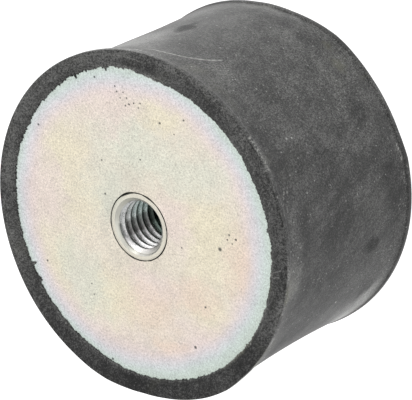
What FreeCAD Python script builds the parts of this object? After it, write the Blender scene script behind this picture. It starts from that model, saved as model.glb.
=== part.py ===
import FreeCAD, Part
import os
import Sketcher
from FreeCAD import Vector

# Silent block: a waisted rubber block bonded between two steel discs, each with a threaded insert
# in its middle. The block stands on one end: +Z is its axis, and z = 0 is the lower rubber rim.
# Every length is in millimetres and every angle in degrees.

DIMENSIONS = [
    ("block_diameter", 50.0, "rubber rim, outside"),
    ("plate_spacing", 30.0, "free height, from plate face to plate face"),
    ("rim_proud", 0.4, "rubber rim above the plate face"),
    ("rim_land", 1.2, "straight band of rubber beside each end"),
    ("rim_bevel", 0.45, "outer edge of each end"),
    ("waist_depth", 0.7, "how far the middle draws in from the rim"),
    ("edge_cover", 2.35, "rubber outside the edge of the disc"),
    ("plate_thickness", 2.5, "steel disc"),
    ("plate_bevel", 0.4, "edge of the disc's face, which the rubber lip laps over"),
    ("hole_bevel", 0.15, "outer edge of the hole in the middle of the disc"),
    ("spigot_diameter", 9.9, "end of the insert that fills the hole in the disc"),
    ("spigot_clearance", 0.05, "gap all round between spigot and disc"),
    ("shoulder_diameter", 14.0, "insert behind the disc"),
    ("insert_bevel", 0.8, "inner end of the insert"),
    ("bore_diameter", 6.8, "tapping drill of the metric eight thread"),
    ("bore_depth", 8.5, "full diameter, from the plate face"),
    ("drill_angle", 118.0, "drill point at the bottom, whole angle"),
    ("end_wall", 1.0, "closed end of the insert, past the drill point"),
    ("countersink_diameter", 8.1, "mouth of the threaded hole"),
    ("countersink_angle", 90.0, "whole angle"),
]

# Each piece is drawn about the middle of the block. Heights below are above that middle.
HALF_HEIGHT = "(Dimensions.plate_spacing / 2 + Dimensions.rim_proud)"
LAND_HEIGHT = "(%s - Dimensions.rim_land)" % HALF_HEIGHT
PLATE_FACE = "(Dimensions.plate_spacing / 2)"
PLATE_BACK = "(%s - Dimensions.plate_thickness)" % PLATE_FACE
DRILL_POINT = "(Dimensions.bore_diameter / 2 / tan(Dimensions.drill_angle / 2))"
INSERT_END = "(%s - Dimensions.bore_depth - %s - Dimensions.end_wall)" % (PLATE_FACE, DRILL_POINT)

BLOCK_RADIUS = "(Dimensions.block_diameter / 2)"
PLATE_RADIUS = "(%s - Dimensions.edge_cover)" % BLOCK_RADIUS
LIP_RADIUS = "(%s - Dimensions.plate_bevel)" % PLATE_RADIUS
PLATE_EDGE = "(%s - Dimensions.plate_bevel)" % PLATE_FACE
SHOULDER_RADIUS = "(Dimensions.shoulder_diameter / 2)"
SPIGOT_RADIUS = "(Dimensions.spigot_diameter / 2)"
PLATE_HOLE_RADIUS = "(%s + Dimensions.spigot_clearance)" % SPIGOT_RADIUS
WAIST_ARC_RADIUS = "((%s ^ 2 + Dimensions.waist_depth ^ 2) / (2 * Dimensions.waist_depth))" % LAND_HEIGHT

UPPER = FreeCAD.Rotation()
LOWER = FreeCAD.Rotation(Vector(1, 0, 0), 180)
MATCH = 1e-6

doc = FreeCAD.newDocument("SilentBlock")


def make_sheet():
    sheet = doc.addObject("Spreadsheet::Sheet", "Dimensions")
    for row, (alias, value, note) in enumerate(DIMENSIONS, start=1):
        sheet.set("A%d" % row, alias)
        sheet.set("B%d" % row, str(value))
        sheet.set("C%d" % row, note)
        sheet.setAlias("B%d" % row, alias)
    doc.recompute()
    return sheet


sheet = make_sheet()


def size(expression):
    # the number that an expression on the sheet comes to
    return float(sheet.evalExpression(expression))


def new_body(name, rotation=UPPER):
    body = doc.addObject("PartDesign::Body", name)
    body.Label = name
    body.Placement = FreeCAD.Placement(Vector(), rotation)
    body.setExpression("Placement.Base.z", HALF_HEIGHT)
    return body


def origin_feature(body, role):
    return next(item for item in body.Origin.OriginFeatures if item.Role == role)


def new_sketch(body, name, role):
    sketch = body.newObject("Sketcher::SketchObject", name)
    sketch.AttachmentSupport = [(origin_feature(body, role), "")]
    sketch.MapMode = "FlatFace"
    return sketch


def bind(sketch, index, name, expression):
    sketch.renameConstraint(index, name)
    sketch.setExpression("Constraints.%s" % name, expression)


def draw_half_section(sketch, corners, waist_side=None):
    # closed outline through corners of (name, radius, height); the side after the corner that
    # waist_side names is an arc that draws in towards the axis, all others are straight
    points = [Vector(size(radius), size(height), 0) for _, radius, height in corners]
    for side, (name, _, _) in enumerate(corners):
        start, end = points[side], points[(side + 1) % len(points)]
        if name == waist_side:
            waist = (start + end) / 2 - Vector(size("Dimensions.waist_depth"), 0, 0)
            sketch.addGeometry(Part.Arc(start, waist, end), False)
        else:
            sketch.addGeometry(Part.LineSegment(start, end), False)

    names = [corner[0] for corner in corners]
    for side, (name, radius, height) in enumerate(corners):
        # an arc keeps its ends in turning order, so the one that runs against it starts at vertex 2
        first = 2 if name == waist_side else 1
        before = (side - 1) % len(corners)
        last = 1 if names[before] == waist_side else 2
        sketch.addConstraint(Sketcher.Constraint("Coincident", before, last, side, first))
        for kind, place in (("DistanceX", radius), ("DistanceY", height)):
            if place == "0":
                axis = -2 if kind == "DistanceX" else -1
                sketch.addConstraint(Sketcher.Constraint("PointOnObject", side, first, axis))
                continue
            index = sketch.addConstraint(Sketcher.Constraint(kind, -1, 1, side, first, size(place)))
            bind(sketch, index, "%s_%s" % (name, "radius" if kind == "DistanceX" else "height"), place)

    if waist_side:
        side = names.index(waist_side)
        index = sketch.addConstraint(Sketcher.Constraint("Radius", side, size(WAIST_ARC_RADIUS)))
        bind(sketch, index, "waist_arc", WAIST_ARC_RADIUS)


def turn(body, kind, name, corners, waist_side=None):
    # a turned form, added (Revolution) or cut away (Groove), from its half section
    sketch = new_sketch(body, name + "_section", "XZ_Plane")
    draw_half_section(sketch, corners, waist_side)
    feature = body.newObject("PartDesign::" + kind, name)
    feature.Profile = sketch
    feature.ReferenceAxis = (sketch, ["V_Axis"])
    feature.Angle = 360
    doc.recompute()
    return feature


def round_edges(feature, places):
    # names of the whole circles of a feature at the given pairs of radius and height
    wanted = [(size(radius), size(height)) for radius, height in places]
    found = []
    for number, edge in enumerate(feature.Shape.Edges, start=1):
        if not isinstance(edge.Curve, Part.Circle) or len(edge.Vertexes) != 1:
            continue
        here = (edge.Curve.Radius, edge.Curve.Center.z)
        if any(abs(here[0] - r) < MATCH and abs(here[1] - z) < MATCH for r, z in wanted):
            found.append("Edge%d" % number)
    if len(found) != len(wanted):
        raise RuntimeError("%s: %d of %d edges found" % (feature.Name, len(found), len(wanted)))
    return found


def bevel(body, name, places, expression):
    # chamfer on circles of the body's last feature
    base = body.Tip
    feature = body.newObject("PartDesign::Chamfer", name)
    feature.Base = (base, round_edges(base, places))
    feature.setExpression("Size", expression)
    doc.recompute()


def mirrored_ends(places):
    return places + [(radius, "(0 - %s)" % height) for radius, height in places]


def make_rubber_body():
    body = new_body("rubber_body")
    turn(body, "Revolution", "block", [
        ("lower_middle", "0", "(0 - %s)" % HALF_HEIGHT),
        ("lower_rim", BLOCK_RADIUS, "(0 - %s)" % HALF_HEIGHT),
        ("lower_land", BLOCK_RADIUS, "(0 - %s)" % LAND_HEIGHT),
        ("upper_land", BLOCK_RADIUS, LAND_HEIGHT),
        ("upper_rim", BLOCK_RADIUS, HALF_HEIGHT),
        ("upper_middle", "0", HALF_HEIGHT),
    ], waist_side="lower_land")

    # The lip opening and the plate under it, then the insert's shoulder
    plate_seat = turn(body, "Groove", "plate_seat", [
        ("opening_middle", "0", HALF_HEIGHT),
        ("seat_middle", "0", PLATE_BACK),
        ("seat_back", PLATE_RADIUS, PLATE_BACK),
        ("seat_edge", PLATE_RADIUS, PLATE_EDGE),
        ("lip_root", LIP_RADIUS, PLATE_FACE),
        ("lip_rim", LIP_RADIUS, HALF_HEIGHT),
    ])
    insert_pocket = turn(body, "Groove", "insert_pocket", [
        ("pocket_middle", "0", PLATE_BACK),
        ("pocket_end_middle", "0", INSERT_END),
        ("pocket_end", SHOULDER_RADIUS, INSERT_END),
        ("pocket_mouth", SHOULDER_RADIUS, PLATE_BACK),
    ])
    mirrored = body.newObject("PartDesign::Mirrored", "other_end")
    mirrored.Originals = [plate_seat, insert_pocket]
    mirrored.MirrorPlane = (origin_feature(body, "XY_Plane"), [""])
    body.Tip = mirrored
    doc.recompute()

    bevel(body, "rims", mirrored_ends([(BLOCK_RADIUS, HALF_HEIGHT)]), "Dimensions.rim_bevel")
    bevel(body, "pocket_ends", mirrored_ends([(SHOULDER_RADIUS, INSERT_END)]), "Dimensions.insert_bevel")
    return body


def make_plate(name, rotation):
    body = new_body(name, rotation)
    turn(body, "Revolution", name + "_disc", [
        ("hole_face", PLATE_HOLE_RADIUS, PLATE_FACE),
        ("hole_back", PLATE_HOLE_RADIUS, PLATE_BACK),
        ("disc_back", PLATE_RADIUS, PLATE_BACK),
        ("disc_edge", PLATE_RADIUS, PLATE_EDGE),
        ("disc_face", LIP_RADIUS, PLATE_FACE),
    ])
    bevel(body, name + "_hole_edge", [(PLATE_HOLE_RADIUS, PLATE_FACE)], "Dimensions.hole_bevel")
    return body


def make_insert(name, rotation):
    body = new_body(name, rotation)
    turn(body, "Revolution", name + "_blank", [
        ("face_middle", "0", PLATE_FACE),
        ("end_middle", "0", INSERT_END),
        ("end_edge", SHOULDER_RADIUS, INSERT_END),
        ("shoulder_edge", SHOULDER_RADIUS, PLATE_BACK),
        ("shoulder_root", SPIGOT_RADIUS, PLATE_BACK),
        ("spigot_face", SPIGOT_RADIUS, PLATE_FACE),
    ])
    bevel(body, name + "_end", [(SHOULDER_RADIUS, INSERT_END)], "Dimensions.insert_bevel")

    centre = new_sketch(body, name + "_hole_centre", "XY_Plane")
    centre.setExpression("AttachmentOffset.Base.z", PLATE_FACE)
    circle = Part.Circle(Vector(), Vector(0, 0, 1), size("Dimensions.bore_diameter") / 2)
    centre.addGeometry(circle, False)
    centre.addConstraint(Sketcher.Constraint("Coincident", 0, 3, -1, 1))
    index = centre.addConstraint(Sketcher.Constraint("Diameter", 0, size("Dimensions.bore_diameter")))
    bind(centre, index, "bore", "Dimensions.bore_diameter")
    doc.recompute()

    hole = body.newObject("PartDesign::Hole", name + "_bore")
    hole.Profile = centre
    doc.recompute()
    hole.DepthType = "Dimension"
    hole.DrillPoint = "Angled"
    hole.HoleCutType = "Countersink"
    hole.setExpression("Diameter", "Dimensions.bore_diameter")
    hole.setExpression("Depth", "Dimensions.bore_depth")
    hole.setExpression("DrillPointAngle", "Dimensions.drill_angle")
    hole.setExpression("HoleCutDiameter", "Dimensions.countersink_diameter")
    hole.setExpression("HoleCutCountersinkAngle", "Dimensions.countersink_angle")
    doc.recompute()
    return body


def check(pieces):
    for item in doc.Objects:
        if "Invalid" in item.State or "Error" in item.State:
            raise RuntimeError("%s failed to build" % item.Name)
    for piece in pieces:
        shape = piece.Shape
        if shape.isNull() or not shape.isValid() or len(shape.Solids) != 1:
            raise RuntimeError("%s is not one sound solid" % piece.Label)


def export(pieces):
    os.makedirs("parts", exist_ok=True)
    for piece in pieces:
        piece.Shape.exportStep(os.path.join("parts", piece.Label + ".step"))
        print("%-14s %9.1f mm3" % (piece.Label, piece.Shape.Volume))


pieces = [
    make_rubber_body(),
    make_plate("upper_plate", UPPER),
    make_plate("lower_plate", LOWER),
    make_insert("upper_insert", UPPER),
    make_insert("lower_insert", LOWER),
]
doc.recompute()
check(pieces)
export(pieces)
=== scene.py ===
import math
from functools import partial
from types import SimpleNamespace

import bmesh
import bpy
import numpy as np
from mathutils import Matrix, Vector


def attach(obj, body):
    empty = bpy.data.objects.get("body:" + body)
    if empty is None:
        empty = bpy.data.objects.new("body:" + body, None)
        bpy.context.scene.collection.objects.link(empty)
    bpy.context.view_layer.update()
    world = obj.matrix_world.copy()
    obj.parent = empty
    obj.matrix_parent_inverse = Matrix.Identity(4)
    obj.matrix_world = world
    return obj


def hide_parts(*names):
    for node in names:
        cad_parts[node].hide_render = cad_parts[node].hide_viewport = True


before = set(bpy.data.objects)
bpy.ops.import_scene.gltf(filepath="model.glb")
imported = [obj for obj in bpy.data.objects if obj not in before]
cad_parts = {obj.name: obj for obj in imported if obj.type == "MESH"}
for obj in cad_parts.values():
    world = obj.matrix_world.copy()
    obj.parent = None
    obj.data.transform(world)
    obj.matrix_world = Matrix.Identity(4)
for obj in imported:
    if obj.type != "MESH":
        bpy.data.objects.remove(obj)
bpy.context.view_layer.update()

mm = 0.001
middle = 0.0154  # height of the block's mid plane above the floor
rimRadius = 25.0  # mm
tau = 2 * math.pi


def addObject(name, data):
    made = bpy.data.objects.new(name, data)
    bpy.context.scene.collection.objects.link(made)
    return made


def readPoints(mesh):
    points = np.empty(len(mesh.vertices) * 3)
    mesh.vertices.foreach_get("co", points)
    return points.reshape(-1, 3)


def writePoints(mesh, points):
    mesh.vertices.foreach_set("co", points.ravel())
    mesh.update()


# camera: fitted to the rim circles, the plate edge and the insert circle of the photograph

cameraSetup = {
    "focalPixels": 2236.0,
    "imageWidth": 412,
    "axisAway": (0.5987, -0.2871, 0.7477),  # block axis, from the shown end inwards, in camera axes
    "shownEnd": (-9.516, 3.744, 304.509),  # centre of the shown rim in camera axes, mm
    "shownHeight": 30.8,
}


def placeCamera(setup):
    away = Vector(setup["axisAway"]).normalized()
    across = (Vector((1, 0, 0)) - away.x * away).normalized()
    upward = away.cross(across)
    if upward.y > 0:
        upward = -upward
    end = Vector(setup["shownEnd"])
    right = Vector((across.x, upward.x, -away.x))
    up = -Vector((across.y, upward.y, -away.y))
    back = -Vector((across.z, upward.z, -away.z))
    spot = Vector((-end.dot(across), -end.dot(upward), setup["shownHeight"] + end.dot(away))) * mm
    data = bpy.data.cameras.new("photoCamera")
    data.sensor_width = 36.0
    data.lens = setup["focalPixels"] / setup["imageWidth"] * 36.0
    data.clip_start = 0.01
    data.clip_end = 20.0
    camera = addObject("photoCamera", data)
    camera.matrix_world = Matrix((
        (right.x, up.x, back.x, spot.x),
        (right.y, up.y, back.y, spot.y),
        (right.z, up.z, back.z, spot.z),
        (0, 0, 0, 1)))
    bpy.context.scene.camera = camera


placeCamera(cameraSetup)
print("camera placed")


# small helpers for node trees: newTree and startMaterial say which tree the others add to

work = {"tree": None}


def plug(socket, value):
    if isinstance(value, bpy.types.NodeSocket):
        work["tree"].links.new(value, socket)
    else:
        socket.default_value = value


def fill(node, values):
    for key, value in values.items():
        plug(node.inputs[key], value)
    return node


def addNode(kind, values=None, **settings):
    node = work["tree"].nodes.new(kind)
    for name, value in settings.items():
        setattr(node, name, value)
    return fill(node, values or {})


def maths(operation, *values, clamp=False):
    return addNode("ShaderNodeMath", dict(enumerate(values)), operation=operation, use_clamp=clamp).outputs[0]


def chain(operation, *values, clamp=False):
    total = values[0]
    for value in values[1:-1]:
        total = maths(operation, total, value)
    return maths(operation, total, values[-1], clamp=clamp)


plus, minus, times, over, larger, smaller = (
    partial(chain, name) for name in ("ADD", "SUBTRACT", "MULTIPLY", "DIVIDE", "MAXIMUM", "MINIMUM"))


def vectorMaths(operation, *values):
    node = addNode("ShaderNodeVectorMath", dict(enumerate(values)), operation=operation)
    return node.outputs["Value"] if operation in ("LENGTH", "DISTANCE", "DOT_PRODUCT") else node.outputs[0]


def split(vector):
    return addNode("ShaderNodeSeparateXYZ", {"Vector": vector}).outputs


def combine(x, y, z):
    return addNode("ShaderNodeCombineXYZ", {"X": x, "Y": y, "Z": z}).outputs[0]


def bump(height, strength):
    return addNode("ShaderNodeBump", {"Strength": strength, "Distance": mm, "Height": height}).outputs[0]


def flatten(vector):
    x, y, _ = split(vector)
    return combine(x, y, 0.0)


def ramp(value, low, high, start=0.0, end=1.0, soft=True):
    # value between low and high becomes start to end
    return addNode("ShaderNodeMapRange",
                   {"Value": value, "From Min": low, "From Max": high, "To Min": start, "To Max": end},
                   interpolation_type="SMOOTHSTEP" if soft else "LINEAR").outputs[0]


def mixColours(factor, first, second, blend="MIX"):
    values = {0: factor, 6: first, 7: second}
    return addNode("ShaderNodeMix", values, data_type="RGBA", blend_type=blend).outputs[2]


def noise(vector, scale, detail=2.0, roughness=0.5, distortion=0.0):
    return addNode("ShaderNodeTexNoise",
                   {"Vector": vector, "Scale": scale, "Detail": detail, "Roughness": roughness,
                    "Distortion": distortion}).outputs[0]


def newTree(name, inputs, outputs, kind="ShaderNodeTree"):
    tree = bpy.data.node_groups.new(name, kind)
    for label, sort, *value in inputs:
        socket = tree.interface.new_socket(name=label, in_out="INPUT", socket_type="NodeSocket" + sort)
        if value:
            socket.default_value = value[0]
    for label, sort in outputs:
        tree.interface.new_socket(name=label, in_out="OUTPUT", socket_type="NodeSocket" + sort)
    work["tree"] = tree
    return tree, addNode("NodeGroupInput").outputs, addNode("NodeGroupOutput").inputs


def useGroup(group, values):
    # the group is set before the values, because it brings the sockets
    node = addNode(group.bl_idname.replace("Tree", "Group"), node_tree=group)
    return fill(node, values).outputs


def colour(red, green, blue):
    # 0 to 255 as a paint chip reads, to the linear values that Blender mixes
    chip = [value / 255 for value in (red, green, blue)]
    return [value / 12.92 if value <= 0.04045 else ((value + 0.055) / 1.055) ** 2.4 for value in chip] + [1.0]


# geometry trees: a lathe for turned sections, and the thread cut into the inserts

def makeGrid(columns, rows):
    return addNode("GeometryNodeMeshGrid", {"Size X": 1.0, "Size Y": 1.0, "Vertices X": columns,
                                            "Vertices Y": rows}).outputs["Mesh"]


def makeLatheGroup():
    tree, given, result = newTree("lathe", [("Section", "Geometry"), ("Segments", "Int", 96)], [("Mesh", "Geometry")],
                                  "GeometryNodeTree")
    count = addNode("GeometryNodeAttributeDomainSize", {"Geometry": given["Section"]}).outputs["Point Count"]
    grid = makeGrid(plus(given["Segments"], 1.0), count)
    place = split(addNode("GeometryNodeInputPosition").outputs[0])
    row = maths("ROUND", times(plus(place[1], 0.5), minus(count, 1.0)))
    sample = addNode("GeometryNodeSampleIndex", {"Geometry": given["Section"], "Index": row},
                     data_type="FLOAT_VECTOR", domain="POINT")
    plug(sample.inputs["Value"], addNode("GeometryNodeInputPosition").outputs[0])
    point = split(sample.outputs[0])
    angle = times(plus(place[0], 0.5), tau)
    turned = combine(times(point[0], maths("COSINE", angle)), times(point[0], maths("SINE", angle)), point[2])
    moved = addNode("GeometryNodeSetPosition", {"Geometry": grid, "Position": turned})
    merged = addNode("GeometryNodeMergeByDistance", {"Geometry": moved.outputs[0], "Distance": 0.002 * mm})
    plug(result[0], merged.outputs[0])
    return tree


def finishTree(geometry, sharpAngle, material, result):
    # smooth faces, crisp where they fold, real geometry with its material
    smooth = addNode("GeometryNodeSetShadeSmooth", {"Geometry": geometry, "Shade Smooth": True}, domain="FACE")
    fold = addNode("GeometryNodeInputMeshEdgeAngle").outputs["Unsigned Angle"]
    crisp = addNode("GeometryNodeSetShadeSmooth",
                    {"Geometry": smooth.outputs[0], "Selection": maths("GREATER_THAN", fold, sharpAngle),
                     "Shade Smooth": False}, domain="EDGE")
    real = addNode("GeometryNodeRealizeInstances", {"Geometry": crisp.outputs[0]})
    dressed = addNode("GeometryNodeSetMaterial", {"Geometry": real.outputs[0], "Material": material})
    plug(result, dressed.outputs[0])


def makeTurnedTree(lathe):
    tree, given, result = newTree(
        "turnedPiece",
        [("Section", "Geometry"), ("Segments", "Int", 96), ("Sharp angle", "Float", 0.7), ("Material", "Material")],
        [("Mesh", "Geometry")], "GeometryNodeTree")
    turned = useGroup(lathe, {"Section": given["Section"], "Segments": given["Segments"]})
    finishTree(turned[0], given["Sharp angle"], given["Material"], result[0])
    return tree


def makeInsertTree(lathe):
    # the skin comes from a section, the threaded wall is a strip one pitch wide that winds up the bore
    lengths = {"Pitch": 1.25, "Root radius": 4.0, "Bore radius": 3.4, "Mouth radius": 4.05, "Mouth height": 15.0,
               "Bore bottom": 6.5, "Point height": 4.5, "Thread end": 7.5}
    tree, given, result = newTree(
        "threadedInsert",
        [("Section", "Geometry"), ("Segments", "Int", 96), ("Rows", "Int", 16), ("Sharp angle", "Float", 0.7),
         ("Material", "Material"), *((label, "Float", value * mm) for label, value in lengths.items())],
        [("Mesh", "Geometry")], "GeometryNodeTree")
    skin = useGroup(lathe, {"Section": given["Section"], "Segments": given["Segments"]})

    pitch = given["Pitch"]
    depth = minus(given["Mouth height"], given["Bore bottom"])
    turns = plus(maths("CEIL", over(depth, pitch)), 1.0)
    columns = plus(times(turns, given["Segments"]), 1.0)
    strip = makeGrid(columns, plus(given["Rows"], 1.0))
    place = split(addNode("GeometryNodeInputPosition").outputs[0])
    along = times(plus(place[0], 0.5), turns)
    across = plus(place[1], 0.5)
    free = plus(minus(given["Bore bottom"], pitch), times(pitch, plus(along, across)))
    height = smaller(larger(free, given["Bore bottom"]), given["Mouth height"])
    # flat root one eighth of a pitch wide, flanks at thirty degrees, crest left by the drill
    fromRoot = times(maths("ABSOLUTE", minus(across, 0.5)), pitch)
    drop = over(larger(minus(fromRoot, over(pitch, 16.0)), 0.0), math.tan(math.radians(30)))
    cut = larger(minus(given["Root radius"], drop), given["Bore radius"])
    started = ramp(height, minus(given["Thread end"], pitch), given["Thread end"])
    wall = plus(given["Bore radius"], times(started, minus(cut, given["Bore radius"])))
    sink = minus(given["Mouth radius"], minus(given["Mouth height"], height))
    radius = smaller(larger(wall, sink), given["Mouth radius"])
    angle = times(along, tau)
    wound = combine(times(radius, maths("COSINE", angle)), times(radius, maths("SINE", angle)), height)
    thread = addNode("GeometryNodeSetPosition", {"Geometry": strip, "Position": wound})

    pointLine = addNode("GeometryNodeMeshLine", mode="END_POINTS", count_mode="TOTAL")
    fill(pointLine, {"Count": 6, "Start Location": combine(given["Bore radius"], 0.0, given["Bore bottom"]),
                     "Offset": combine(0.0, 0.0, given["Point height"])})
    drillPoint = useGroup(lathe, {"Section": pointLine.outputs[0], "Segments": given["Segments"]})

    joined = addNode("GeometryNodeJoinGeometry")
    for part in (skin[0], thread.outputs[0], drillPoint[0]):
        plug(joined.inputs[0], part)
    merged = addNode("GeometryNodeMergeByDistance", {"Geometry": joined.outputs[0], "Distance": 0.002 * mm})
    finishTree(merged.outputs[0], given["Sharp angle"], given["Material"], result[0])
    return tree


def setInput(modifier, label, value):
    for item in modifier.node_group.interface.items_tree:
        if item.item_type == "SOCKET" and item.in_out == "INPUT" and item.name == label:
            modifier[item.identifier] = value


def turnPiece(name, section, tree, values):
    # section points in mm about the mid plane, turned by the tree into a plain closed mesh about it
    base = bpy.data.meshes.new(name + "Section")
    base.from_pydata([(r * mm, 0, z * mm) for r, z in section], [(i, i + 1) for i in range(len(section) - 1)], [])
    maker = addObject(name + "Maker", base)
    modifier = maker.modifiers.new("turning", "NODES")
    modifier.node_group = tree
    for label, value in values.items():
        setInput(modifier, label, value)
    shape = maker.evaluated_get(bpy.context.evaluated_depsgraph_get())
    mesh = bpy.data.meshes.new_from_object(shape)
    maker.modifiers.remove(modifier)
    bpy.data.objects.remove(maker)
    mesh.name = name
    skin = bmesh.new()
    skin.from_mesh(mesh)
    bmesh.ops.recalc_face_normals(skin, faces=skin.faces)
    openEdges = sum(1 for edge in skin.edges if len(edge.link_faces) != 2)
    skin.to_mesh(mesh)
    skin.free()
    print(name, len(mesh.vertices), "points,", len(mesh.polygons), "faces,", openEdges, "open edges")
    return addObject(name, mesh)


latheGroup = makeLatheGroup()
turnedTree = makeTurnedTree(latheGroup)
insertTree = makeInsertTree(latheGroup)


# shader groups that the finishes share

def makePlacesGroup():
    # object coordinates in mm: radius, height above the mid plane, and the side and the rim's flat unrolled
    tree, given, result = newTree("places", [("Position", "Vector")], [
        ("Millimetres", "Vector"), ("Radius", "Float"), ("Height", "Float"),
        ("Side", "Vector"), ("Rim", "Vector")])
    lengths = vectorMaths("MULTIPLY", given["Position"], (1000, 1000, 1000))
    x, y, z = split(lengths)
    height = minus(z, middle * 1000)
    radius = maths("SQRT", plus(times(x, x), times(y, y)))
    turn = over(maths("ARCTAN2", y, x), tau)
    plug(result["Millimetres"], lengths)
    plug(result["Radius"], radius)
    plug(result["Height"], height)
    plug(result["Side"], combine(times(turn, tau * rimRadius), height, 0.0))
    plug(result["Rim"], combine(times(turn, tau * rimRadius), radius, 0.0))
    return tree


def makeSpecksGroup():
    # scattered round spots, each cell of the scatter keeping its spot only by chance
    tree, given, result = newTree("specks", [
        ("Position", "Vector"), ("Spacing", "Float", 1.0),
        ("Size", "Float", 0.15), ("Share", "Float", 0.5)], [("Mask", "Float")])
    cells = addNode("ShaderNodeTexVoronoi", {"Vector": given["Position"], "Scale": over(1.0, given["Spacing"])})
    reach = times(cells.outputs["Distance"], given["Spacing"])
    chance, strength, _ = split(cells.outputs["Color"])
    spot = ramp(reach, given["Size"], 0.0)
    kept = maths("LESS_THAN", chance, given["Share"])
    plug(result[0], times(spot, kept, ramp(strength, 0.0, 1.0, 0.35, 1.0)))
    return tree


def makeScuffGroup():
    # one thin mark from a start to an end on an unrolled surface, bowed and worn to a broken line
    tree, given, result = newTree("scuff", [
        ("Surface", "Vector"), ("Start", "Vector"), ("End", "Vector"),
        ("Bow", "Float", 0.0), ("Width", "Float", 0.1), ("Broken", "Float", 0.5),
        ("Grit", "Float", 1.7)], [("Mask", "Float")])
    run = vectorMaths("SUBTRACT", given["End"], given["Start"])
    length = vectorMaths("LENGTH", run)
    ahead = vectorMaths("NORMALIZE", run)
    here = vectorMaths("SUBTRACT", given["Surface"], given["Start"])
    part = over(vectorMaths("DOT_PRODUCT", here, ahead), length)
    dx, dy, _ = split(ahead)
    hx, hy, _ = split(here)
    aside = minus(times(dx, hy), times(dy, hx))
    arch = times(part, minus(1.0, part), 4.0)
    off = maths("ABSOLUTE", minus(aside, times(arch, given["Bow"])))
    line = ramp(off, given["Width"], 0.0)
    ends = times(ramp(part, 0.0, 0.12), ramp(part, 1.0, 0.85))
    worn = ramp(noise(given["Surface"], given["Grit"], 3.0, 0.6), plus(times(given["Broken"], 0.16), 0.3), 0.6)
    kept = plus(minus(1.0, given["Broken"]), times(given["Broken"], worn))
    plug(result[0], times(line, ends, kept))
    return tree


def makeWanderGroup():
    # a place pushed about by slow noise, so that what is drawn on it gets ragged outlines
    tree, given, result = newTree("wander", [
        ("Place", "Vector"), ("Position", "Vector"),
        ("Size", "Float", 3.0), ("Amount", "Float", 1.0)], [("Place", "Vector")])
    push = addNode("ShaderNodeTexNoise",
                   {"Vector": given["Position"], "Scale": over(1.0, given["Size"]),
                    "Detail": 4.0, "Roughness": 0.65}).outputs["Color"]
    push = vectorMaths("SUBTRACT", push, (0.5, 0.5, 0.5))
    reach = times(given["Amount"], 4.0)
    push = vectorMaths("MULTIPLY", push, combine(reach, reach, 0.0))
    plug(result[0], vectorMaths("ADD", given["Place"], push))
    return tree


def makePatchGroup():
    # a soft oval patch
    tree, given, result = newTree("patch", [
        ("Place", "Vector"), ("Centre", "Vector"),
        ("Reach", "Vector", (1.0, 1.0, 1.0))], [("Mask", "Float")])
    gap = vectorMaths("DIVIDE", vectorMaths("SUBTRACT", given["Place"], given["Centre"]), given["Reach"])
    plug(result[0], ramp(vectorMaths("LENGTH", gap), 1.0, 0.15))
    return tree


def makeGrainGroup():
    # grain of a matt surface: even, fine and coarse together, about zero
    tree, given, result = newTree("grain", [("Position", "Vector"), ("Size", "Float", 0.3)],
                                  [("Coarse", "Float"), ("Fine", "Float")])
    scale = over(1.0, given["Size"])
    coarse = noise(given["Position"], scale, 2.0, 0.6)
    fine = noise(given["Position"], times(scale, 2.3), 2.0, 0.6)
    plug(result["Coarse"], minus(coarse, 0.5))
    plug(result["Fine"], minus(fine, 0.5))
    return tree


placesGroup = makePlacesGroup()
specksGroup = makeSpecksGroup()
scuffGroup = makeScuffGroup()
wanderGroup = makeWanderGroup()
patchGroup = makePatchGroup()
grainGroup = makeGrainGroup()


def startMaterial(name):
    material = bpy.data.materials.new(name)
    material.use_nodes = True
    work["tree"] = material.node_tree
    spot = addNode("ShaderNodeTexCoord").outputs["Object"]
    return material, material.node_tree.nodes["Principled BSDF"], useGroup(placesGroup, {"Position": spot})


# rubber: dark and matt, dusty on its side, with painted sheen and shade on its side and rim

rubberFinish = {
    "deep": colour(7, 7, 7),
    "pale": colour(96, 96, 95),
    # the dust colour also stands in for painted sheen where the side patches are strong
    "dustAndSheen": colour(172, 172, 168),
    "speck": colour(218, 218, 214),
    "olive": colour(92, 92, 73),
    "darkOlive": colour(58, 58, 44),
    # painted shade for the far rim's outermost band
    "edge": colour(12, 12, 12),
    # between deep and pale: the start, and how much each part of the pattern adds
    "tone": 0.3,
    "shares": {"coarse": 2.9, "fine": 3.6, "clouds": 1.9, "blotches": 1.0, "smears": 1.7, "dustAndPaintedLight": 0.18},
    "faceDust": 0.045,
    "sideDust": 0.085,
    "patchDustAndSheen": 0.14,
    "stain": 0.7,
    "farEdgeShade": 0.62,
    "smallSpecks": {"Spacing": 0.7, "Size": 0.17},
    "largeSpecks": {"Spacing": 1.9, "Size": 0.25, "Share": 0.26},
    "marks": 0.6,
    "grainSize": 0.26,
    "roughness": 0.54,
    "sheen": 0.08,
}

# marks on the side: start and end as degrees round the block and mm above the mid plane, bow and width in mm,
# strength
sideMarks = [
    ((70.8, 6.2), (79.4, 11.3), 0.5, 0.27, 1.6), ((78.3, 10.95), (88.6, 12.2), 0.3, 0.27, 1.6),
    ((87.2, 12.1), (92.5, 13.5), -0.3, 0.3, 1.2),
]
# grazes: the same figures, rubbed to grit
sideGrazes = [
    ((16.8, 14.8), (24.2, 12.7), 0.05, 0.26, 0.9), ((16, 13.6), (24.5, 12), 0.05, 0.24, 0.95),
    ((29.5, 14.5), (36.5, 14.7), 0.05, 0.75, 0.95), ((34.5, 14.7), (43.5, 15), 0.05, 0.75, 1.1),
    ((14.6, -14.1), (21.5, -13.9), 0.05, 0.4, 1.6), ((7, -13.8), (11.5, -14), 0, 0.24, 1),
    ((12, -14.7), (13.1, -14.7), 0, 0.3, 1.6), ((88, 14.2), (93, 13.4), 0, 0.7, 1.2),
]
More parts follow.
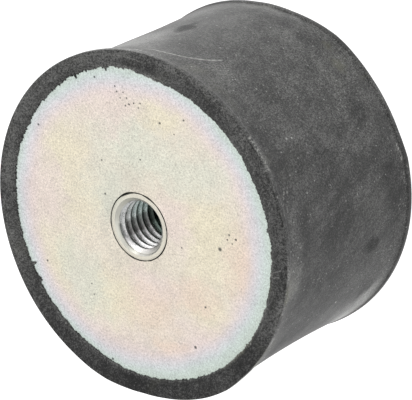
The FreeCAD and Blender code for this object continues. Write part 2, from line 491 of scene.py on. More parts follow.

# dust on the side, with painted light: the strong patches along the rim's edges and near the side's outlines, at
# about -55 and 90 to 105 degrees, are painted sheen, and the wide ones below zero on the side facing the front are
# painted shade; the small ones below zero are wiped clean; degrees, mm above the mid plane, reach round and up in mm,
# strength
sidePatches = [
    (-36, 3, 17, 20, -0.65), (-8, 2, 17, 24, -0.6), (14, 2, 12, 22, -0.45), (30, 2, 10, 20, -0.25),
    (22, 12.4, 32, 4.5, -0.6), (-56, 4, 6, 8, -1.6), (-28, 15.3, 14, 0.8, 1.6), (92, 15.2, 9, 1, 2),
    (-53, -12, 6, 5, 2.3), (-44, -11, 7, 4.5, 1.5), (-34, -12.3, 5.5, 2.6, 1.5), (-48, -7, 5, 4, 0.5),
    (-38, -6.5, 4, 4, 0.8), (0, 13.2, 14, 2.4, 0.6), (16, -12, 12, 3.2, -0.6), (70, -11.5, 14, 3, -0.55),
    (-36, 9.2, 5, 4, -1), (-7, 12, 5.5, 3, 0.9), (9, 12, 4, 2.2, 0.5), (-22, -3.5, 4, 4.5, 0.4),
    (104, 8, 7.5, 10, 1.9), (88, 12.5, 5, 4, 0.6), (-42, 14.3, 6, 1.6, 0.8), (66, 8.8, 3, 3, 0.5),
    (89, -5, 3.5, 4, 0.4), (86, -12.8, 11, 1.9, 0.8), (56, -4, 4, 3.5, -0.5), (36, 14.6, 3.4, 0.7, 0.5),
    (47, 6, 5, 4, -0.5), (57, 4.6, 5, 4, -0.5), (108, -9, 5, 5, 0.7), (12, -3.5, 2.6, 3, 0.45),
    (97.5, 0, 1.5, 4.5, -2.2), (-11.5, 6.5, 4, 4, -0.5), (-9.2, -6.6, 1.5, 2.6, -2.2), (4, 2.5, 6, 5.5, -0.4),
    (-12, 4, 2, 5, -0.5), (36, -8.5, 3, 2.6, -0.8), (27, 2.6, 2.6, 3.2, -0.6), (14, -9.5, 5, 2.8, -0.5),
    (67, -9.5, 2.2, 2.2, -0.7), (0, -11.5, 6, 3, -0.4), (73, 1, 2.5, 5, -0.35), (28.5, 7, 4, 5.5, -0.55),
    (-33, -1.8, 3, 3, 0.6), (-29.5, -9.5, 3, 2.6, -0.6), (53, -9.8, 3.2, 2.4, -0.5), (8.5, 14.2, 3.5, 1.2, -0.6),
    (-1.5, 15.3, 3.5, 0.8, 1.6), (78, -13.9, 3.2, 1.2, 0.7), (-35.5, 5, 3.5, 3, -0.7), (42.5, 6.5, 3.5, 3, 0.5),
    (24, 13.6, 4, 1.8, -0.5), (39.8, -9.6, 3, 2.6, -0.5),
]

# where bright specks crowd: the same figures
sideSpecks = [
    (59, -12, 6.5, 2.6, 1.3), (22, 8, 5, 6, 0.5), (68, 11, 8, 5, 0.6), (-30, 10, 6, 6, 0.4), (12, 12.5, 6, 3, 0.5),
    (38, -9, 8, 4, 0.4),
]

# oily tint on the side: the same figures
sideStains = [
    (-36, 14.8, 4, 1.4, 1), (-46, 13.8, 4, 2.5, 0.8), (-9, 14.4, 3.2, 1.4, 0.7), (53, -11.4, 2.2, 1.8, 0.6),
    (60, -12.4, 1.4, 1.6, 0.5), (72, 12.5, 3, 2, 0.3),
]

# dust on the rim's flat, and painted shade: the patches below zero at radius 22.5 to 22.6 darken the lip's slope;
# degrees, radius in mm, reach round and out in mm, strength
rimPatches = [
    (168, 24, 22, 3, 0.55), (110, 24, 18, 3, 0.3), (-160, 24, 10, 3, 0.55), (-96, 24, 20, 4, -1),
    (-132, 24, 12, 4, -0.8), (-50, 24, 12, 3, -0.6), (-14, 23.3, 4.5, 1, -0.5), (-38, 23.8, 8, 3, -0.6),
    (-86, 24.2, 13, 3, -0.5), (39.5, 23.6, 4, 1.2, 0.6), (88, 23, 7, 0.8, -0.3), (-15, 24.9, 5, 0.8, 0.8),
    (-45, 22.5, 15, 0.8, -1.6), (-86, 22.6, 15, 1, -1), (60, 22.4, 6, 0.6, -0.7), (62, 24.6, 14, 0.8, 0.7),
    (174, 24.4, 8, 1, -0.5),
]

# light curls and streaks on the rim's flat: degrees and radius in mm, bow, width, strength
rimMarks = [
    ((-28, 23.2), (-22.5, 22.8), 0.1, 0.12, 0.4), ((-15, 22.8), (-8, 23.2), 0.2, 0.13, 0.5),
    ((-4.6, 22.9), (-3.4, 24), -0.15, 0.14, 0.7), ((-2.5, 22.6), (-0.5, 24.2), 0.1, 0.16, 0.8),
    ((-165, 22.9), (-163, 24.3), 0.2, 0.12, 0.4), ((87, 23.8), (104, 24.1), 0.15, 0.16, 0.5),
    ((96, 24.3), (118, 24.2), 0.1, 0.1, 0.35), ((15, 22.7), (19, 23.3), 0.2, 0.14, 0.5),
    ((32, 22.8), (33.5, 23.5), 0.1, 0.13, 0.5),
]


def addMarks(place, marks, broken=0.6, grit=1.7):
    # the strongest of a list of scuffs; degrees become mm round the rim
    total = 0.0
    for start, end, bow, width, strength in marks:
        ends = [(math.radians(degrees) * rimRadius, up, 0) for degrees, up in (start, end)]
        mark = useGroup(scuffGroup, {"Surface": place, "Start": ends[0], "End": ends[1], "Bow": bow,
                                     "Width": width, "Broken": broken, "Grit": grit})[0]
        total = larger(total, times(mark, strength))
    return total


def addPatches(place, patches):
    total = 0.0
    for degrees, up, across, along, strength in patches:
        patch = useGroup(patchGroup, {"Place": place, "Centre": (math.radians(degrees) * rimRadius, up, 0),
                                      "Reach": (across, along, 1)})[0]
        total = plus(total, times(patch, strength))
    return total


def makeRubber():
    material, shader, places = startMaterial("moulded rubber")
    look = rubberFinish
    lengths, radius, height = places["Millimetres"], places["Radius"], places["Height"]
    reach = maths("ABSOLUTE", height)
    side = ramp(reach, 15.38, 15.12)  # 1 on the side, 0 on the rim's flat

    # the compound itself: clouds and grain between a deep and a pale grey, with the patches' dust and painted light
    # and shade
    grain = useGroup(grainGroup, {"Position": lengths, "Size": look["grainSize"]})
    clouds = minus(noise(lengths, 0.16, 5.0, 0.62, 0.6), 0.5)
    blotches = minus(noise(lengths, 0.7, 4.0, 0.65), 0.5)
    smears = combine(plus(split(places["Side"])[0], times(height, 0.45)), times(height, 0.22), times(radius, 0.5))
    smears = times(minus(noise(smears, 0.5, 5.0, 0.65, 0.9), 0.5), side)
    wanderSide, wanderRim = (
        useGroup(wanderGroup, {"Place": places[name], "Position": lengths, "Size": size, "Amount": amount})[0]
        for name, size, amount in (("Side", 2.6, 1.3), ("Rim", 2.5, 0.5)))
    # dust and painted light and shade on the rim or on the side, packed as colours so that one mix picks between them
    dustAndPaintedLight = mixColours(side, combine(addPatches(wanderRim, rimPatches), 0.0, 0.0),
                      combine(addPatches(wanderSide, sidePatches), 0.0, 0.0))
    dustAndPaintedLight = split(dustAndPaintedLight)[0]
    parts = {"coarse": grain["Coarse"], "fine": grain["Fine"], "clouds": clouds, "blotches": blotches,
             "smears": smears, "dustAndPaintedLight": dustAndPaintedLight}
    tone = look["tone"]
    for part, share in look["shares"].items():
        tone = plus(tone, times(parts[part], share))
    tone = plus(tone, 0.0, clamp=True)
    base = mixColours(tone, look["deep"], look["pale"])

    stain = times(ramp(noise(lengths, 0.2, 3.0, 0.6, 0.5), 0.52, 0.7), ramp(reach, 11.0, 14.5, 0.04, 0.3))
    onSide = times(addPatches(wanderSide, sideStains), side)
    stain = plus(stain, onSide, clamp=True)
    olive = mixColours(side, look["darkOlive"], look["olive"])
    base = mixColours(times(stain, look["stain"]), base, olive)

    # dust: thin overall, thicker where it was laid and where sheen is painted, thinner where shade is painted and
    # where it was wiped, in grains
    haze = ramp(noise(lengths, 0.24, 6.0, 0.7, 1.2), 0.32, 0.7)
    amount = ramp(side, 0.0, 1.0, look["faceDust"], look["sideDust"], soft=False)
    amount = times(amount, plus(times(haze, 1.2), 0.4))
    amount = plus(amount, times(larger(dustAndPaintedLight, 0.0), look["patchDustAndSheen"]))
    amount = times(amount, plus(1.0, smaller(dustAndPaintedLight, 0.0), clamp=True))
    powder = ramp(plus(grain["Coarse"], grain["Fine"]), -0.16, 0.2, 0.15, 2.0, soft=False)
    base = mixColours(times(amount, powder), base, look["dustAndSheen"])

    # painted shade: the far rim's outermost band is darkened, where its rounded edge turns away from the light
    farShadeBand = times(ramp(height, -13.9, -14.9), ramp(radius, 24.6, 24.8))
    base = mixColours(times(farShadeBand, look["farEdgeShade"]), base, look["edge"])

    crowd = plus(times(addPatches(wanderSide, sideSpecks), 0.5), 0.36)
    small = useGroup(specksGroup, {"Position": lengths, "Share": crowd, **look["smallSpecks"]})[0]
    large = useGroup(specksGroup, {"Position": lengths, **look["largeSpecks"]})[0]
    spots = plus(times(small, 0.5), times(large, 0.8))
    spots = times(spots, ramp(side, 0.0, 1.0, 0.35, 1.0))
    base = mixColours(spots, base, look["speck"])

    onSide = larger(addMarks(places["Side"], sideMarks), addMarks(places["Side"], sideGrazes, 1.0, 2.7))
    onRim = times(addMarks(places["Rim"], rimMarks), minus(1.0, side))
    marks = plus(times(onSide, side), onRim)
    base = mixColours(times(marks, look["marks"], clamp=True), base, look["dustAndSheen"])

    rough = ramp(tone, 0.1, 0.7, look["roughness"] - 0.08, look["roughness"] + 0.1, soft=False)
    rough = minus(rough, times(dustAndPaintedLight, 0.08), clamp=True)
    relief = plus(times(grain["Coarse"], 0.1), times(grain["Fine"], 0.05))
    relief = plus(relief, times(blotches, 0.12))
    relief = plus(relief, times(spots, 0.03))
    fill(shader, {"Base Color": base, "Roughness": rough, "Normal": bump(relief, 0.6), "Specular IOR Level": 0.38,
                  "Sheen Weight": look["sheen"], "Sheen Roughness": 0.35})
    return material


# zinc: satin with a pale film that shifts from green at the edge through blue and pink to cream

zincFinish = {
    # the film from the disc's edge inwards: mm in from the edge, colour
    "film": [
        (0, colour(192, 202, 194)), (0.9, colour(198, 208, 203)), (1.6, colour(204, 208, 209)),
        (2.5, colour(213, 207, 209)), (3.6, colour(219, 208, 203)), (5, colour(219, 211, 198)),
        (9, colour(219, 211, 197)),
    ],
    "edgeRadius": 22.5,
    "middle": (-0.3, 0.3),  # of the rings of film
    "tints": {
        "greyGreen": colour(207, 213, 200),
        "yellow": colour(224, 217, 186),
        "pink": colour(222, 204, 203),
        "peach": colour(226, 203, 186),
        "soot": colour(150, 156, 150),
    },
    # where the dip ran thicker or thinner: x, y, reach across and up in mm, tint, strength
    "clouds": [
        (-12.5, 8.5, 6.5, 6.5, "yellow", 0.4), (-10, 1.5, 4.5, 6, "yellow", 0.3),
        (-14.5, -8.5, 5, 7.5, "yellow", 0.35), (-4, -11.5, 6, 7, "yellow", 0.4), (4.5, 16.3, 7, 3.5, "yellow", 0.4),
        (11.5, 3, 7.5, 7, "yellow", 0.45), (12, -3.5, 6.5, 5, "yellow", 0.35), (13, -10.5, 6, 4.5, "yellow", 0.35),
        (-1, 11, 10, 6, "greyGreen", 0.6), (8, 9.5, 8, 5, "greyGreen", 0.45),
        (-12.3, -7.5, 4, 5.5, "greyGreen", 0.45), (-8.3, -11.5, 4.5, 7.5, "greyGreen", 0.5),
        (-5.5, 3.5, 6, 6.5, "greyGreen", 0.5), (13.5, 10.5, 5, 4.5, "greyGreen", 0.35), (-5.5, 16, 7, 5, "pink", 0.4),
        (-16.5, 1.5, 4.5, 8.5, "pink", 0.4), (6.3, 2, 4, 6, "pink", 0.45), (2.5, -8, 7, 4.5, "pink", 0.45),
        (-2, -17.5, 9, 4.5, "pink", 0.3), (-3, -20, 12, 3.5, "soot", 0.18), (10, -14.5, 8, 5.5, "pink", 0.4),
        (2, -12, 6.5, 5, "peach", 0.45), (9.5, -8, 6.5, 3.5, "peach", 0.5), (17.3, -1.5, 3.6, 7.5, "peach", 0.55),
        (5.5, -17.3, 5.5, 2.8, "peach", 0.5), (-4.8, 2.8, 3.2, 4, "soot", 0.15), (-5.4, -1.5, 2.4, 4.5, "soot", 0.12),
        (-1.6, 5.8, 4.5, 2.2, "soot", 0.12), (-3, -5.2, 3.5, 2.2, "soot", 0.1), (4.5, -5, 3, 2, "soot", 0.06),
    ],
    "roughness": 0.42,
    "pit": colour(62, 66, 66),
    "specks": {"Spacing": 0.8, "Size": 0.13, "Share": 0.3},
    "joint": colour(34, 36, 36),
}

# dark pits in the plating: x, y on the plate and radius, all in mm
platePits = [
    (-7.2, 20, 0.13), (-3.7, 19.4, 0.09), (-3.4, 18.7, 0.1), (-2.3, 18.8, 0.08), (-2.8, 17.9, 0.08),
    (-1.7, 18.1, 0.1), (-1.3, 17.3, 0.12), (-0.5, 17.6, 0.1), (0.3, 17.1, 0.08), (0.6, 17.8, 0.09), (-1.9, 17, 0.1),
    (3.9, 15.7, 0.14), (7.9, 16.9, 0.12), (0.5, 9.8, 0.1), (-6.2, 8.3, 0.1), (13.9, 0.05, 0.24), (16.5, 2.05, 0.14),
    (15.4, 2.45, 0.11), (15.1, 1.7, 0.09), (15.9, 1.3, 0.08), (9.8, -15.4, 0.19), (11.5, -9, 0.13), (7.5, -1.3, 0.08),
    (-8.4, -10.6, 0.09), (-16.5, -9.1, 0.13), (-5.7, 3.5, 0.12), (-17.5, 11.1, 0.13), (-4.8, -21.2, 0.14),
    (-8, -12.1, 0.08), (6.3, 14.6, 0.07),
]


def makeFilmGroup(look):
    # colour of the passivated zinc: rings of film along the disc's edge, soft patches inside them
    tree, given, result = newTree("zincFilm", [("Position", "Vector")],
                                  [("Colour", "Color"), ("Grain", "Float")])
    onFace = flatten(given["Position"])
    placed = useGroup(wanderGroup, {"Place": onFace, "Position": given["Position"], "Size": 4.0, "Amount": 2.2})[0]
    wander = minus(noise(given["Position"], 0.12, 5.0, 0.6, 0.6), 0.5)
    inward = minus(look["edgeRadius"], vectorMaths("DISTANCE", onFace, (*look["middle"], 0)))
    inward = plus(inward, times(wander, 2.4))
    reach = look["film"][-1][0]
    bands = addNode("ShaderNodeValToRGB", {"Fac": over(inward, reach)})
    stops = bands.color_ramp.elements
    while len(stops) < len(look["film"]):
        stops.new(0.5)
    for stop, (place, tint) in zip(stops, look["film"]):
        stop.position = place / reach
        stop.color = tint
    film = bands.outputs[0]
    inside = ramp(inward, 2.0, 4.5)
    for cx, cy, across, up, tint, strength in look["clouds"]:
        patch = useGroup(patchGroup, {"Place": placed, "Centre": (cx, cy, 0), "Reach": (across, up, 1)})[0]
        film = mixColours(times(patch, strength, inside), film, look["tints"][tint])
    grain = useGroup(grainGroup, {"Position": given["Position"], "Size": 0.32})
    speckle = plus(grain["Coarse"], times(grain["Fine"], 1.3))
    streak = minus(noise(given["Position"], 0.45, 5.0, 0.65, 0.6), 0.5)
    tone = plus(1.05, plus(speckle, times(streak, 0.34)))
    plug(result[0], mixColours(1.0, film, combine(tone, tone, tone), "MULTIPLY"))
    plug(result[1], speckle)
    return tree


filmGroup = makeFilmGroup(zincFinish)

# joint between the insert's spigot and the plate, in mm: a dark line, thicker where dirt sits in it

jointSize = {
    "middle": (0.13, -0.04),  # the insert was pressed in a little off the middle
    "radius": 4.87,
    "thin": 0.07,
    "uneven": 0.06,
    "thick": 0.12,
    # x, y, reach, strength
    "dirt": [(-2.2, 4.4, 1.9, 1.0), (1.9, 4.6, 1.2, 0.8), (4.0, -3.2, 1.6, 0.35), (-4.9, -0.4, 1.2, 0.4),
             (-1.4, -4.8, 1.2, 0.4), (5.0, 1.3, 1.0, 0.3)],
}


def fromJoint(places):
    flat = flatten(places["Millimetres"])
    return flat, vectorMaths("DISTANCE", flat, (*jointSize["middle"], 0))


def addJoint(places, base):
    # dirt along the joint between spigot and plate, thicker in places
    flat, radius = fromJoint(places)
    gap = maths("ABSOLUTE", minus(radius, jointSize["radius"]))
    uneven = noise(places["Millimetres"], 0.9, 3.0, 0.6)
    thick = plus(jointSize["thin"], ramp(uneven, 0.35, 0.65, 0.0, jointSize["uneven"]))
    for x, y, reach, strength in jointSize["dirt"]:
        patch = useGroup(patchGroup, {"Place": flat, "Centre": (x, y, 0), "Reach": (reach, reach, 1)})[0]
        thick = plus(thick, times(patch, jointSize["thick"] * strength))
    dirt = ramp(gap, thick, times(thick, 0.5))
    return mixColours(times(dirt, 0.92), base, zincFinish["joint"])


def makeZincPlate():
    material, shader, places = startMaterial("passivated zinc plate")
    look = zincFinish
    lengths = places["Millimetres"]
    film = useGroup(filmGroup, {"Position": lengths})
    flat = flatten(lengths)
    pits = 0.0
    for px, py, size in platePits:
        gap = vectorMaths("DISTANCE", flat, (px, py, 0.0))
        pits = larger(pits, ramp(gap, size * 1.3 + 0.06, size * 0.6))
    small = useGroup(specksGroup, {"Position": lengths, **look["specks"]})[0]
    pits = larger(pits, times(small, 0.45))
    base = mixColours(times(pits, 0.85), film["Colour"], look["pit"])
    base = addJoint(places, base)
    rough = plus(look["roughness"], times(film["Grain"], 0.3))
    relief = minus(times(film["Grain"], 0.04), times(pits, 0.05))
    fill(shader, {"Base Color": base, "Metallic": 1.0, "Roughness": rough, "Normal": bump(relief, 0.5)})
    return material


# insert: the same zinc on its ring, brighter turned steel in the thread, painted shade down the hole

insertFinish = {
    "ring": colour(209, 207, 194),
    "sink": colour(246, 245, 234),
    "silver": colour(250, 247, 247),
    "teal": colour(218, 238, 232),
    # painted light and shade in the bore: the dark colours below stand in for shade, and holeLit is a painted lit
    # copy of the hole's colour
    "shade": colour(72, 74, 69),
    "line": colour(72, 86, 82),
    "entryShade": colour(176, 174, 170),
    "hole": colour(84, 94, 87),
    "holeLit": colour(160, 180, 170),
    # directions in the bore: degrees, cosine of the angle off it where the tint starts and is full, raggedness
    "tealSide": (140, 0.2, 0.9, 0.35),
    "paintedShadeSide": (204, 0.93, 0.985, 0.07),
    "entrySide": (300, 0.74, 0.9, 0.12),
    "litSide": (240, 0.86, 0.97, 0.1),
    # from and to, in mm from the mid plane, and strength
    "tealDepth": (13.6, 10.5, 0.3, 1.0),
    "paintedShadeDepth": (14.0, 13.3, 0.0, 0.7),
    "holeDepth": (8.6, 7.9, 0.0, 0.95),
    "entryDepth": (12.6, 13.8, 0.0, 0.75),
    "lineDepth": ((14.85, 14.5), (13.95, 14.15, 0.0, 0.6)),
    "footDepth": ((14.3, 14.0), (13.4, 13.65, 0.0, 0.4)),
    # radius of the countersink's rim and depth where the bore's colours begin, each from 0 to 1, in mm
    "sinkRim": (4.25, 4.15),
    "boreMouth": (14.65, 14.25),
    "roughness": 0.38,
}


def makeInsertSteel():
    material, shader, places = startMaterial("zinc plated insert")
    look = insertFinish
    lengths = places["Millimetres"]
    film = useGroup(filmGroup, {"Position": lengths})
    reach = maths("ABSOLUTE", places["Height"])
    flat, radius = fromJoint(places)
    sunk = ramp(radius, *look["sinkRim"])
    bore = times(sunk, ramp(reach, *look["boreMouth"]))
    facing = vectorMaths("NORMALIZE", vectorMaths("SUBTRACT", flat, (*jointSize["middle"], 0)))
    mottle = minus(noise(lengths, 1.6, 4.0, 0.65), 0.5)

    def facingSide(name):
        degrees, low, high, ragged = look[name]
        angle = math.radians(degrees)
        along = vectorMaths("DOT_PRODUCT", facing, (math.cos(angle), math.sin(angle), 0))
        return ramp(plus(along, times(mottle, ragged)), low, high)

    # the thread is teal on its far side, with painted shade next to that, clean towards the key light
    paintedShadeSide, litSide = facingSide("paintedShadeSide"), facingSide("litSide")
    teal = times(facingSide("tealSide"), ramp(reach, *look["tealDepth"]))
    tinted = mixColours(teal, look["silver"], look["teal"])
    paintedShade = times(paintedShadeSide, ramp(reach, *look["paintedShadeDepth"]))
    tinted = mixColours(paintedShade, tinted, look["shade"])
    # painted shade in the hole below the thread, lighter on its side towards the key light
    deep = mixColours(litSide, look["hole"], look["holeLit"])
    tinted = mixColours(ramp(reach, *look["holeDepth"]), tinted, deep)
    worn = plus(1.0, plus(times(film["Grain"], 1.5), mottle))
    tinted = mixColours(1.0, tinted, combine(worn, worn, worn), "MULTIPLY")
    base = mixColours(0.6, film["Colour"], look["ring"])
    base = mixColours(sunk, base, look["sink"])
    base = mixColours(bore, base, tinted)
    # painted shade that tones down the bright first flank at the foot of the countersink, on the side at 300 degrees
    entryShade = times(facingSide("entrySide"), sunk, ramp(reach, *look["entryDepth"]))
    base = mixColours(entryShade, base, look["entryShade"])
    # painted shade where the first turn starts, at the foot of the countersink
    for name, mask in (("lineDepth", paintedShadeSide), ("footDepth", litSide)):
        upper, lower = look[name]
        line = times(ramp(reach, *upper), ramp(reach, *lower))
        base = mixColours(times(line, mask), base, look["line"])
    base = addJoint(places, base)
    rough = plus(ramp(bore, 0.0, 1.0, zincFinish["roughness"], look["roughness"]), times(film["Grain"], 0.2))
    rings = times(maths("SINE", times(radius, 60.0)), 0.004)
    relief = plus(rings, times(film["Grain"], 0.012))
    fill(shader, {"Base Color": base, "Metallic": 1.0, "Roughness": rough, "Normal": bump(relief, 0.4)})
    return material


rubber = makeRubber()
zincPlate = makeZincPlate()
insertSteel = makeInsertSteel()
print("materials made")


# rubber body

rubberSize = {
    "halfHeight": 15.4,
    "rimRadius": 25.0,
    "edgeRounding": 0.22,
    "landHeight": 14.6,  # the rim's straight band ends here
    "stepHeight": 14.2,
    "stepDepth": 0.2,
    "waistDepth": 0.45,
    "swell": 0.05,
    "swellWaves": (6, 2, 9, 5),  # number, lowest and highest cycles a turn, seed
    "plateFace": 15.0,
    "plateRadius": 22.65,
    "plateBack": 12.5,
    "lipRadius": 22.25,
    "lipThickness": 0.17,
    "lipLean": 0.07,
    "slopeStart": 0.09,  # from the lip's edge
    "lipReach": 1.15,  # how far out the lip's slope goes before the rim is level
    "plateBevel": 0.1,
    "pocketRadius": 7.0,
    "pocketEnd": 3.457,
    "pocketBevel": 0.8,
    "segments": 900,
}


def rubberSection(size):
    # half section of the upper half, from the axis to the waist, then the same turned over
    lip, face, top, bevel = size.lipRadius, size.plateFace, size.halfHeight, size.plateBevel
    pocket, end, back, plate = size.pocketRadius, size.pocketEnd, size.plateBack, size.plateRadius
    points = [(0, end), (pocket - size.pocketBevel, end), (pocket, end + size.pocketBevel), (pocket, back),
              (15.0, back), (plate, back), (plate, face - bevel), (plate - bevel, face), (lip, face)]
    for part in (0.35, 0.7, 0.9):
        points.append((lip + size.lipLean * part ** 3, face + size.lipThickness * part))
    start, rise = lip + size.slopeStart, top - face - size.lipThickness
    for part in (0.0, 0.12, 0.25, 0.4, 0.58, 0.78, 1.0):
        points.append((start + size.lipReach * part, face + size.lipThickness + rise * math.sin(part * math.pi / 2)))
    edge = size.rimRadius - size.edgeRounding
    points += [(23.9, top), (24.4, top)]
    for degrees in (90, 67.5, 45, 22.5, 0):
        a = math.radians(degrees)
        points.append((edge + size.edgeRounding * math.cos(a), top - size.edgeRounding * (1 - math.sin(a))))
    points.append((size.rimRadius, size.landHeight))
    inner = size.rimRadius - size.stepDepth
    for part in (0.33, 0.67, 1.0):
        points.append((size.rimRadius - size.stepDepth * (1 - math.cos(part * math.pi)) / 2,
                       size.landHeight + (size.stepHeight - size.landHeight) * part))
    for z in np.linspace(size.stepHeight, 0, 15)[1:]:
        points.append((inner - size.waistDepth * (1 - (z / size.stepHeight) ** 2), z))
    return points + [(r, -z) for r, z in reversed(points[:-1])]


# how far out the bare plate reaches, by degrees round the end, in mm
lipOutline = [
    (-180, 21.94), (-165, 21.9), (-153, 21.84), (-147, 21.82), (-140, 21.98), (-134, 21.88), (-121, 21.96),
    (-114, 21.88), (-106, 21.98), (-98, 22.14), (-79, 22.18), (-62, 22.28), (-47, 22.36), (-44, 22.36), (-41, 22.22),
    (-37.5, 22.38), (-27, 22.4), (-18, 22.34), (-2, 22.24), (4, 22.34), (8.5, 22.34), (11, 22.14), (13, 22.26),
    (28, 22.14), (34, 22.06), (39, 22.28), (45, 22.06), (51, 22.12), (58, 21.94), (65, 21.95), (81, 21.7),
    (88, 21.94), (91, 22.18), (100, 22.48), (111, 22.36), (122, 22.38), (133, 22.14), (144, 22.16), (154, 22.08),
    (163, 22.22), (172, 22.07), (180, 21.94),
]
# how far each rim stands out of or short of its circle, by degrees, in mm: trimmed and slightly out of round
upperRimOutline = [
    (-180, -0.16), (-168, -0.2), (-154, -0.2), (-140, -0.1), (-126, 0), (-117, 0.08), (-110, 0.2), (-103, 0.2),
    (-96, 0), (-88, -0.16), (-79, -0.06), (-70, 0.14), (-62, 0.28), (-53, 0.32), (-46, 0.1), (-36, 0), (0, 0),
    (90, -0.02), (98, -0.08), (106, -0.14), (115, -0.14), (134, -0.13), (152, -0.12), (180, -0.16),
]
lowerRimOutline = [
    (-180, 0), (-9, 0), (10, -0.06), (15, -0.04), (19.5, -0.24), (24.5, -0.4), (33, -0.45),
    (43, -0.42), (52, -0.26), (58, -0.1), (62, -0.06), (67, -0.16), (73, -0.3), (80, -0.42), (89, -0.36), (95, -0.36),
    (104, -0.16), (115, 0), (180, 0),
]
# where the waist swells or sinks: degrees, mm above the mid plane, reach in degrees and in mm, amount in mm
waistBumps = [(122, 8.5, 30, 6, -0.27), (122, 8.7, 30, 2, -0.14), (122, -9.5, 30, 4.5, 0.08)]
# shreds of flash that lie on the plate: degrees, how far in from the lip, width in degrees
lipShreds = [(-152, 0.8, 1), (-145.5, 0.5, 1.6), (150, 0.3, 1.2), (127, 0.1, 1), (40, 0.15, 1), (-70, 0.15, 1),
             (-30, 0.14, 1), (12, 0.15, 1)]
toothSize = {
    "fine": 0.045,
    "fineWaves": (40, 150, 420, 11),
    "coarse": 0.055,
    "coarseWaves": (16, 30, 110, 12),
    "furthest": 0.27,
    # how ragged the lip is, by degrees
    "roughDegrees": (-180, -100, -60, 60, 92, 100, 126, 134, 180),
    "rough": (1.2, 0.8, 0.8, 0.8, 1.2, 2.1, 2.1, 1.2, 1.2),
}


def wave(angles, count, low, high, seed):
    # smooth closed unevenness, about -1 to 1, from waves with low to high cycles a turn
    chance = np.random.default_rng(seed)
    total = np.zeros_like(angles)
    for _ in range(count):
        total += np.sin(chance.integers(low, high) * angles + chance.uniform(0, tau))
    return total / math.sqrt(count / 2)


def shapeRubber(piece, size):
    # draws in the ragged lips; the lower lip is the upper one turned on by a third of a turn
    points = readPoints(piece.data) / mm
    radius = np.hypot(points[:, 0], points[:, 1])
    angle = np.arctan2(points[:, 1], points[:, 0])
    end = np.sign(points[:, 2])
    height = np.abs(points[:, 2])
    degrees = np.degrees(angle)
    degrees = np.where(end < 0, (degrees + 300) % 360 - 180, degrees)
    local = np.radians(degrees)
    outline = np.interp(degrees, *zip(*lipOutline)) - size.lipRadius
    rough = np.interp(degrees, toothSize["roughDegrees"], toothSize["rough"])
    fine = wave(local, *toothSize["fineWaves"])
    coarse = wave(local, *toothSize["coarseWaves"])
    outline += rough * (toothSize["fine"] * fine * np.sqrt(np.abs(fine)) + toothSize["coarse"] * coarse)
    outline = np.minimum(outline, toothSize["furthest"])
    for where, inward, width in lipShreds:
        outline -= inward * np.exp(-((degrees - where) / width * 1.6) ** 4)
    # the points of the lip, but not those of its underside on the plate
    near = 0.01
    flat = radius < size.plateRadius - size.plateBevel + near
    onLip = (height > size.plateFace - near) & (radius > size.lipRadius - near)
    onLip &= (height > size.plateFace + near) | flat
    weight = np.where(onLip, np.clip(1 - (radius - size.lipRadius - size.slopeStart) / size.lipReach, 0, 1) ** 1.5, 0)
    underside = onLip & (height < size.plateFace + near) & (radius > size.lipRadius + near)
    weight = np.where(underside, 0, weight)
    radius = radius + weight * outline
    # the rim's own unevenness fades inwards and towards the waist
    fixed = np.degrees(angle)
    upperRim = np.interp(fixed, *zip(*upperRimOutline))
    lowerRim = np.interp(fixed, *zip(*lowerRimOutline))
    hold = np.clip((radius - 22.9) / 1.7, 0, 1) * np.clip((height - 9.0) / 5.4, 0, 1) ** 2
    radius = radius + hold * np.where(end > 0, upperRim, lowerRim)
    # only the outer wall swells, not the seats inside it
    swell = size.swell * wave(angle, *size.swellWaves) - size.swell
    radius = np.where(radius > 23.5, radius + swell * np.clip((14.2 - height) / 3, 0, 1), radius)
    onWaist = np.where(radius > 23.5, np.clip(14.5 - height, 0, 1), 0)
    for where, up, across, along, amount in waistBumps:
        radius += onWaist * amount * np.exp(-((fixed - where) / across) ** 2 - ((end * height - up) / along) ** 2)
    points = np.stack([radius * np.cos(angle), radius * np.sin(angle), end * height], 1) * mm
    points[:, 2] += middle
    writePoints(piece.data, points)


size = SimpleNamespace(**rubberSize)
rubberBody = turnPiece("rubber_block", rubberSection(size), turnedTree,
                       {"Segments": size.segments, "Sharp angle": 0.75, "Material": rubber})
shapeRubber(rubberBody, size)
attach(rubberBody, "root")
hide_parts("rubber_body")
print("rubber body made")


# threaded inserts

insertSize = {
    "face": 15.0,
    "spigotRadius": 4.82,
    "spigotEdge": 0.06,
    "shoulderRadius": 7.0,
    "plateBack": 12.5,
    "inner": 3.457,
    "innerBevel": 0.8,
    "mouthRadius": 4.2,
    "boreRadius": 3.4,
    "rootRadius": 4.02,
    "boreBottom": 6.5,
    "pointHeight": 4.457,
    "threadEnd": 7.9,
    "threadTurn": -77,  # degrees; where the thread starts
    "pitch": 1.25,
    "segments": 120,
    "rows": 16,
}


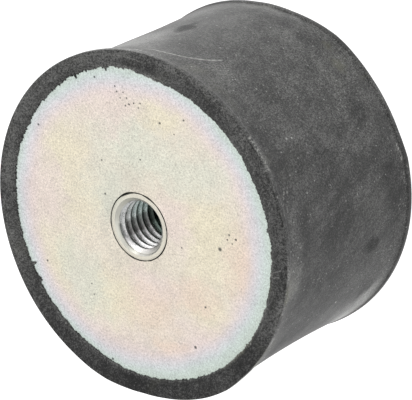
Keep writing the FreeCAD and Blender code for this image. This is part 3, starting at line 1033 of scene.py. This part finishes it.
def makeInsert(name, node, turnedOver):
    size = SimpleNamespace(**insertSize)
    shoulder, spigot, edge, face = size.shoulderRadius, size.spigotRadius, size.spigotEdge, size.face
    section = [(0, size.inner), (shoulder - size.innerBevel, size.inner), (shoulder, size.inner + size.innerBevel),
               (shoulder, size.plateBack), (spigot, size.plateBack), (spigot, face - edge),
               (spigot - edge * 0.3, face - edge * 0.3), (spigot - edge, face), (4.5, face), (size.mouthRadius, face)]
    piece = turnPiece(name, section, insertTree, {
        "Segments": size.segments, "Rows": size.rows, "Pitch": size.pitch * mm,
        "Root radius": size.rootRadius * mm, "Bore radius": size.boreRadius * mm,
        "Mouth radius": size.mouthRadius * mm, "Mouth height": size.face * mm,
        "Bore bottom": size.boreBottom * mm, "Point height": size.pointHeight * mm,
        "Thread end": size.threadEnd * mm, "Sharp angle": 0.45, "Material": insertSteel})
    if turnedOver:
        piece.data.transform(Matrix.Rotation(math.pi, 4, "X"))
    piece.data.transform(Matrix.Rotation(math.radians(size.threadTurn), 4, "Z"))
    piece.data.transform(Matrix.Translation((*(shift * mm for shift in jointSize["middle"]), middle)))
    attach(piece, "root")
    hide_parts(node)


makeInsert("insert_upper_threaded", "upper_insert", False)
makeInsert("insert_lower_threaded", "lower_insert", True)
print("inserts made")


# plates: discs punched and tumbled, so that their edges are slightly broken

plateSize = {
    "face": 15.0,
    "back": 12.5,
    "radius": 22.65,
    "edgeBevel": 0.1,
    "holeRadius": 4.91,
    "holeBevel": 0.05,
    "segments": 360,
}


def makePlate(name, node, turnedOver):
    size = SimpleNamespace(**plateSize)
    hole, edge, bevel = size.holeRadius, size.radius, size.edgeBevel
    section = [(hole, size.back), (hole, size.face - size.holeBevel), (hole + size.holeBevel, size.face),
               (8.0, size.face), (15.0, size.face), (edge - bevel, size.face), (edge, size.face - bevel),
               (edge, size.back), (15.0, size.back), (8.0, size.back), (hole, size.back)]
    piece = turnPiece(name, section, turnedTree,
                      {"Segments": size.segments, "Sharp angle": 0.45, "Material": zincPlate})
    points = readPoints(piece.data)
    nearHole = np.clip((8.0 * mm - np.hypot(points[:, 0], points[:, 1])) / (3.0 * mm), 0, 1)
    points[:, :2] += nearHole[:, None] * np.array(jointSize["middle"]) * mm
    writePoints(piece.data, points)
    if turnedOver:
        piece.data.transform(Matrix.Rotation(math.pi, 4, "X"))
    piece.data.transform(Matrix.Translation((0, 0, middle)))
    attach(piece, "root")
    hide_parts(node)


makePlate("zinc_plate_upper", "upper_plate", False)
makePlate("zinc_plate_lower", "lower_plate", True)
print("plates made")


# studio: white floor, soft panels

studio = {
    "floorGlow": 1.05,
    "world": 0.45,
    # name, azimuth and elevation in degrees, distance and size in m, power in W
    "panels": [
        ("key", 138, 43, 0.8, 0.86, 2.7),
        ("plateFill", 215, 52, 0.9, 0.65, 1.05),
        ("lowFill", 285, 38, 0.9, 0.5, 0.15),
        ("front", 15, 38, 1.0, 1.3, 1.7),
    ],
}


def makeStudio(setup):
    half = 3.0
    mesh = bpy.data.meshes.new("floor")
    mesh.from_pydata([(-half, -half, 0), (half, -half, 0), (half, half, 0), (-half, half, 0)], [], [(0, 1, 2, 3)])
    floor = addObject("floor", mesh)
    paint = bpy.data.materials.new("floor paint")
    paint.use_nodes = True
    fill(paint.node_tree.nodes["Principled BSDF"], {
        "Base Color": (0.35, 0.35, 0.35, 1), "Roughness": 0.9, "Specular IOR Level": 0.1,
        "Emission Color": (1, 1, 1, 1), "Emission Strength": setup["floorGlow"]})
    mesh.materials.append(paint)

    world = bpy.data.worlds.new("studio")
    world.use_nodes = True
    fill(world.node_tree.nodes["Background"], {"Color": (1, 1, 1, 1), "Strength": setup["world"]})
    bpy.context.scene.world = world

    for name, azimuth, elevation, distance, size, power in setup["panels"]:
        data = bpy.data.lights.new(name, "AREA")
        data.shape = "DISK"
        data.size = size
        data.energy = power
        panel = addObject(name, data)
        a, e = math.radians(azimuth), math.radians(elevation)
        spot = Vector((math.cos(a) * math.cos(e), math.sin(a) * math.cos(e), math.sin(e))) * distance
        panel.location = spot + Vector((0, 0, middle))
        panel.rotation_euler = spot.to_track_quat("Z", "Y").to_euler()


makeStudio(studio)
bpy.context.scene.view_settings.view_transform = "Standard"
print("studio made")
